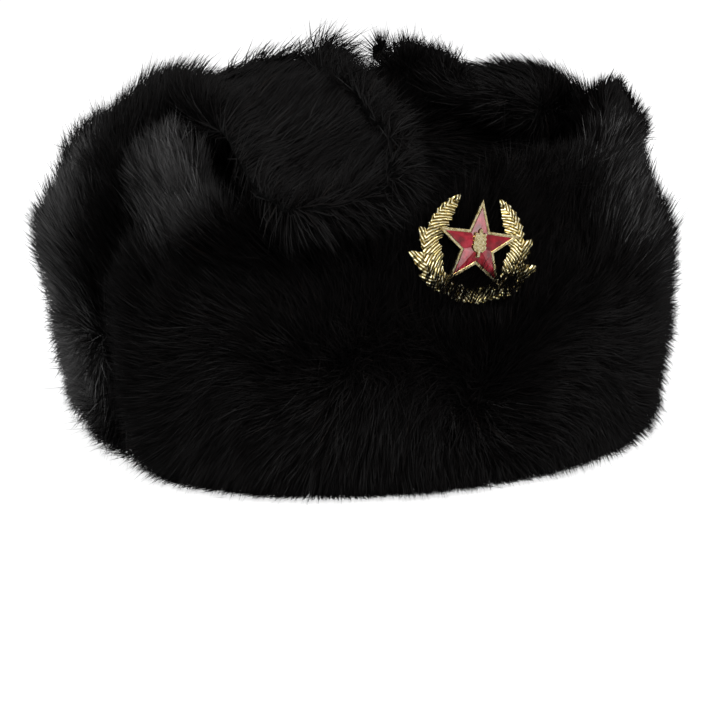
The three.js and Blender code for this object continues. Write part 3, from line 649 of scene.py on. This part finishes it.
def hair_mesh(name, paths, normals, width, shade, kind, materials):
    """Flat tapering hairs along the paths, joined in one mesh."""
    rows, count = paths.shape[:2]
    along = unit(np.gradient(paths, axis=0))
    twist = random.normal(0, TWIST, count)[:, None]
    facing = unit(normals + twist * unit(np.cross(along[1], normals)))
    per_hair = 2 * rows - 1
    points = np.empty((count, per_hair, 3))
    for row in range(rows - 1):
        across = unit(np.cross(along[row], facing))
        half = (width * (1 - TAPER * (row / (rows - 1)) ** 2) / 2)[:, None]
        points[:, 2 * row] = paths[row] - across * half
        points[:, 2 * row + 1] = paths[row] + across * half
    points[:, -1] = paths[-1]
    first = np.arange(count) * per_hair
    quads = [np.stack([first + 2 * row + k for k in (0, 1, 3, 2)], axis=1) for row in range(rows - 2)]
    tips = np.stack([first + per_hair - k for k in (3, 2, 1)], axis=1)
    loops = np.concatenate([np.concatenate(quads).ravel(), tips.ravel()])
    sizes = np.concatenate([np.full(count * (rows - 2), 4), np.full(count, 3)])
    mesh = bpy.data.meshes.new(name)
    mesh.vertices.add(count * per_hair)
    mesh.vertices.foreach_set("co", points.astype(np.float32).ravel())
    mesh.loops.add(len(loops))
    mesh.loops.foreach_set("vertex_index", loops.astype(np.int32))
    mesh.polygons.add(len(sizes))
    mesh.polygons.foreach_set("loop_start", np.concatenate([[0], np.cumsum(sizes)[:-1]]).astype(np.int32))
    mesh.update(calc_edges=True)
    mesh.polygons.foreach_set("use_smooth", np.ones(len(sizes), bool))
    attribute = mesh.attributes.new("hair_shade", "FLOAT", "POINT")
    attribute.data.foreach_set("value", np.repeat(shade, per_hair).astype(np.float32))
    for material in materials:
        mesh.materials.append(material)
    mesh.polygons.foreach_set("material_index", np.tile(kind, rows - 1).astype(np.int32))
    mesh.validate()
    hair = bpy.data.objects.new(name, mesh)
    bpy.context.scene.collection.objects.link(hair)
    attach(hair, "root")
    return hair


# Hair: which way it is combed

PARTING_HEIGHT = 38 * MM  # hair below it hangs, and hair above it stands up
PARTING_FADE = 34 * MM
SWEPT_ANGLE = 60  # degrees from the front at which hair is swept fully sideways
RIGHT_TIP_HAIR = np.array([1, -0.1, 0.5])  # the right lobe's tip reaches over the tie, the left one stands up
LEFT_TIP_HAIR = np.array([0.1, 0, 1])
FRINGE_HAIR = np.array([0.7, -0.1, -0.8])
FORWARD_HAIR = np.array([0, -0.8, 0])


def comb_outward(points, sideways, seed):
    """Hair that spreads from the middle of the front: up above the parting, down below it, and sideways."""
    around = unit(np.cross(UP, unit(points * np.array([1, 1, 0]))))
    wander = swirl(points, 55 * MM, seed)
    rise = np.clip((points[:, 2] - PARTING_HEIGHT) / PARTING_FADE + 0.35 * wander[:, 2], -1, 1)
    side = sideways * around_angle(points) / SWEPT_ANGLE
    return around * (side * (1.15 - 0.5 * np.abs(rise)))[:, None] + UP * rise[:, None] + 0.25 * wander


def comb_front(points, normals):
    """Out from the middle, and at the upper corners towards the tuft of each corner."""
    near = weight("corner_tuft", points)[:, None]
    return comb_outward(points, 0.9, seed=5) * (1 - near) + unit(nearest_corner(points) - points) * near * 1.4


def comb_lobe(points, normals):
    """Up the sides, then level across the crown to the tie; at the drooping front edge it hangs."""
    right = (points[:, 0] < 0)[:, None]
    level = np.where(right, [1.0, 0.3, 0.2], [-1.0, 0.3, 0.2])
    near = weight("tips", points)[:, None]
    tip = np.where(right, RIGHT_TIP_HAIR, LEFT_TIP_HAIR)
    across = level * (1 - near) + tip * near + 0.16 * swirl(points, 40 * MM, seed=8)
    over = weight("ear_lobe", points)[:, None]
    comb = comb_outward(points, 0.35, seed=7) * (1 - over) + across * over
    comb += FORWARD_HAIR * weight("low_ear_end", points)[:, None]
    hanging = (weight("drooping_edge", points) * smooth(0.35, -0.1, normals[:, 2]))[:, None]
    return comb * (1 - hanging) + FRINGE_HAIR * hanging


def comb_nape(points, normals):
    return comb_outward(points, 0.1, seed=10)


def comb_crown(points, normals):
    """Outwards and back, and loose below the tie."""
    back = np.array([0, 0.4, 0])
    flow = unit(points * np.array([1, 1, 0])) + back + 0.4 * swirl(points, 50 * MM, seed=12)
    return flow * (1 - 0.8 * weight("tie", points))[:, None]


# Hair: where it grows

NAPE_ANGLE = 118  # degrees from the front
LOBE_HEIGHT = 137 * MM
LOBE_FRONT, LOBE_LEAST_HEIGHT = -52 * MM, 92 * MM
CROWN_TOP_HEIGHT = 105 * MM
FACES_CROWN = -0.35  # outwardness below which a surface is hidden against the crown


def is_seen(points, normals, least_up):
    """Where a surface doesn't face the crown, or faces upwards by more than least_up."""
    return (outwardness(points, normals) > FACES_CROWN) | (normals[:, 2] > least_up)


def on_front(side):
    def keep(points, normals):
        shown = is_seen(points, normals, 0.3) | (weight("side_gap", points) > 0)
        return (shown & (points[:, 0] * side > 0)).astype(float)
    return keep


def on_ear(side):
    def keep(points, normals):
        mine = (np.abs(around_angle(points)) < NAPE_ANGLE) | (points[:, 2] > LOBE_HEIGHT)
        shown = is_seen(points, normals, 0.1) | (weight("side_gap", points) > 0)
        shown |= points[:, 2] > LOBE_HEIGHT
        shown |= (points[:, 1] < LOBE_FRONT) & (points[:, 2] > LOBE_LEAST_HEIGHT)
        return (mine & shown & (points[:, 0] * side > 0)).astype(float)
    return keep


def on_nape(points, normals):
    mine = (np.abs(around_angle(points)) >= NAPE_ANGLE) & (points[:, 2] <= LOBE_HEIGHT)
    return (mine & is_seen(points, normals, 0.1)).astype(float)


def on_crown_top(points, normals):
    """The top of the crown, with thicker hair below the tie."""
    return ((normals[:, 2] > 0.25) & (points[:, 2] > CROWN_TOP_HEIGHT)) * (1 + 5 * weight("tie", points))


# Hair: how long, how high, and how much gloss and painted sheen

CROWN_TRIM = (("tie", 0.7),)  # how much longer or shorter, as a share, in each region
FRONT_TRIM = (("low_front_end", 0.4), ("left_corner", -0.42), ("badge_foot", 0.5), ("under_lobe", 0.7))
EAR_TRIM = (
    ("right_tip", 0.28), ("left_tip", -0.15), ("right_shoulder", 0.1), ("left_shoulder", -0.05),
    ("behind_shoulder", -0.5), ("low_ear_end", 0.3), ("drooping_edge", -0.05),
)
RAISED = (("rim", 0.25), ("badge_foot", 0.28), ("tie", 0.3), ("under_lobe", 0.4))
LIES_FLAT = 0.55  # how much less the hair is lifted on top

SHEEN_CORE = 0.35  # the share of the radius in which a place has its full gloss and painted sheen
# places with more gloss and painted sheen: middle in mm, radius in mm, how much
RIGHT_CORNER_SHEEN = (((-106, -85, 122), 44, 0.85),)
LEFT_CORNER_SHEEN = (((88, -105, 101), 42, 0.13),)
RIGHT_SIDE_SHEEN = (((-123, 28, 45), 60, 0.45), ((-121, 30, 92), 56, 0.5))

HAIR_WIDTH = 0.4 * MM  # a lock of a few hairs; single ones would not show
GUARD_WIDTH = 0.28 * MM
GUARD_LENGTH = 1.3  # guard hairs reach this much further
GUARD_SHARE = 0.06
LENGTH_SPREAD = 0.16
SHORTEST, LONGEST = 0.55, 1.5
HIDDEN_TRIM = 0.4  # hair that faces the crown is this much shorter
HIDDEN_START, HIDDEN_END = 0.1, -0.4
LIFT_SPREAD = 0.08
LEAST_LIFT, MOST_LIFT = 0.06, 0.95
TIP_DROOP = 0.1
BIG_LOCK, SMALL_LOCK = 45, 7  # hairs to a lock
LOCK_PULL = 0.3
MIDDLE_SHADE, SHADE_SPREAD = 0.35, 0.22
FLOOR_CLEARANCE = 0.4 * MM

FUR = (
    # piece, CAD node, hairs, where, comb, trim, length in mm, lift off the skin, places of gloss and painted
    # sheen
    ("front_flap_hair_right", "front_flap", 50000, on_front(-1),
     comb_front, FRONT_TRIM, 16, 0.45, RIGHT_CORNER_SHEEN),
    ("front_flap_hair_left", "front_flap", 50000, on_front(1),
     comb_front, FRONT_TRIM, 16, 0.45, LEFT_CORNER_SHEEN),
    ("right_ear_hair", "ear_nape_flap", 56000, on_ear(-1),
     comb_lobe, EAR_TRIM, 16, 0.38, RIGHT_SIDE_SHEEN),
    ("left_ear_hair", "ear_nape_flap", 50000, on_ear(1),
     comb_lobe, EAR_TRIM, 16, 0.38, ()),
    ("nape_hair", "ear_nape_flap", 45000, on_nape,
     comb_nape, EAR_TRIM, 16, 0.42, RIGHT_SIDE_SHEEN),
    ("crown_hair", "crown", 17000, on_crown_top,
     comb_crown, CROWN_TRIM, 14, 0.45, ()),
)


def gloss_and_painted_sheen(points, places):
    """How much gloss and painted sheen the hair gets, from 0 to 1: dull nearly everywhere, and shining in the
    given places.
    """
    sleek = np.zeros(len(points))
    for middle, radius, amount in places:
        apart = np.linalg.norm(points - np.array(middle) * MM, axis=1)
        sleek = np.maximum(sleek, amount * smooth(radius * MM, SHEEN_CORE * radius * MM, apart))
    return sleek


def grow_hair(name, shell, count, keep, comb, trim, length, lift, gloss_and_sheen_places, materials):
    roots, normals = scatter(shell, count, keep)
    guard = random.random(count) < GUARD_SHARE
    hidden = smooth(HIDDEN_START, HIDDEN_END, np.maximum(outwardness(roots, normals), normals[:, 2]))
    uneven = np.clip(random.normal(1, LENGTH_SPREAD, count), SHORTEST, LONGEST)
    uneven *= np.where(guard, GUARD_LENGTH, 1)
    lengths = length * MM * (1 + amount_at(roots, trim)) * (1 - HIDDEN_TRIM * hidden) * uneven
    lies_flat = weight("top", roots) * (1 - np.maximum(weight("shoulder", roots), weight("tie", roots)))
    lifts = lift * (1 - LIES_FLAT * lies_flat) + amount_at(roots, RAISED)
    lifts = np.clip(lifts + random.normal(0, LIFT_SPREAD, count), LEAST_LIFT, MOST_LIFT)
    paths = hair_paths(roots, normals, comb(roots, normals), lifts, lengths, TIP_DROOP)
    for lock in (BIG_LOCK, SMALL_LOCK):
        paths = gather_locks(paths, lock, LOCK_PULL)
    paths = press_under_badge(paths)
    paths[:, :, 2] = np.maximum(paths[:, :, 2], FLOOR_CLEARANCE)
    shade = np.clip(random.normal(MIDDLE_SHADE, SHADE_SPREAD, count), 0, 1)
    # the shinier kinds picked here have a lighter grey colour, which is painted sheen, and more specular
    # gloss
    kind = np.floor(gloss_and_painted_sheen(roots, gloss_and_sheen_places) * (len(materials) - 1) + random.random(count))
    hair_mesh(name, paths, normals, np.where(guard, GUARD_WIDTH, HAIR_WIDTH), shade, kind, materials)


# Dressing the hat

HOLLOW_MIDDLE_HEIGHT = 60 * MM
UNDERSIDE = -0.5  # faces that point down more than this belong to the inside


def line_crown(shell):
    """The faces of the crown that look into the head hollow are plain cloth."""
    shell.data.materials.append(black_cotton_twill())
    for face in shell.data.polygons:
        inward = Vector((-face.center.x, -face.center.y, HOLLOW_MIDDLE_HEIGHT - face.center.z))
        if face.normal.dot(inward) > 0 or face.normal.z < UNDERSIDE:
            face.material_index = 1


def dress_fur():
    hair = [dyed_rabbit_hair(*kind) for kind in HAIR_KINDS]
    underfur = black_underfur()
    shells = {
        "crown": pelt_shell("crown_pelt", "crown", 3 * MM, 0.5 * MM),
        "front_flap": pelt_shell("front_flap_pelt", "front_flap", 3.5 * MM, 9 * MM),
        "ear_nape_flap": pelt_shell("ear_nape_flap_pelt", "ear_nape_flap", 3.5 * MM, 8 * MM),
    }
    for shell in shells.values():
        shell.data.materials.append(underfur)
    line_crown(shells["crown"])
    for name, node, *growth in FUR:
        grow_hair(name, shells[node], *growth, hair)


def give_material(node, material):
    mesh = nodes[node].data
    if not mesh.materials:
        mesh.materials.append(material)
    for slot in nodes[node].material_slots:
        slot.material = material


def finish_hard_parts():
    give_material("badge_wreath", stamped_gilt_brass())
    give_material("badge_star", polished_gilt_edge())
    give_material("badge_enamel", cherry_red_enamel())
    give_material("badge_post", steel_post_in_painted_shade())
    give_material("tie_lace", braided_cotton_lace())


set_camera()
set_floor()
set_lights()
dress_fur()
finish_hard_parts()
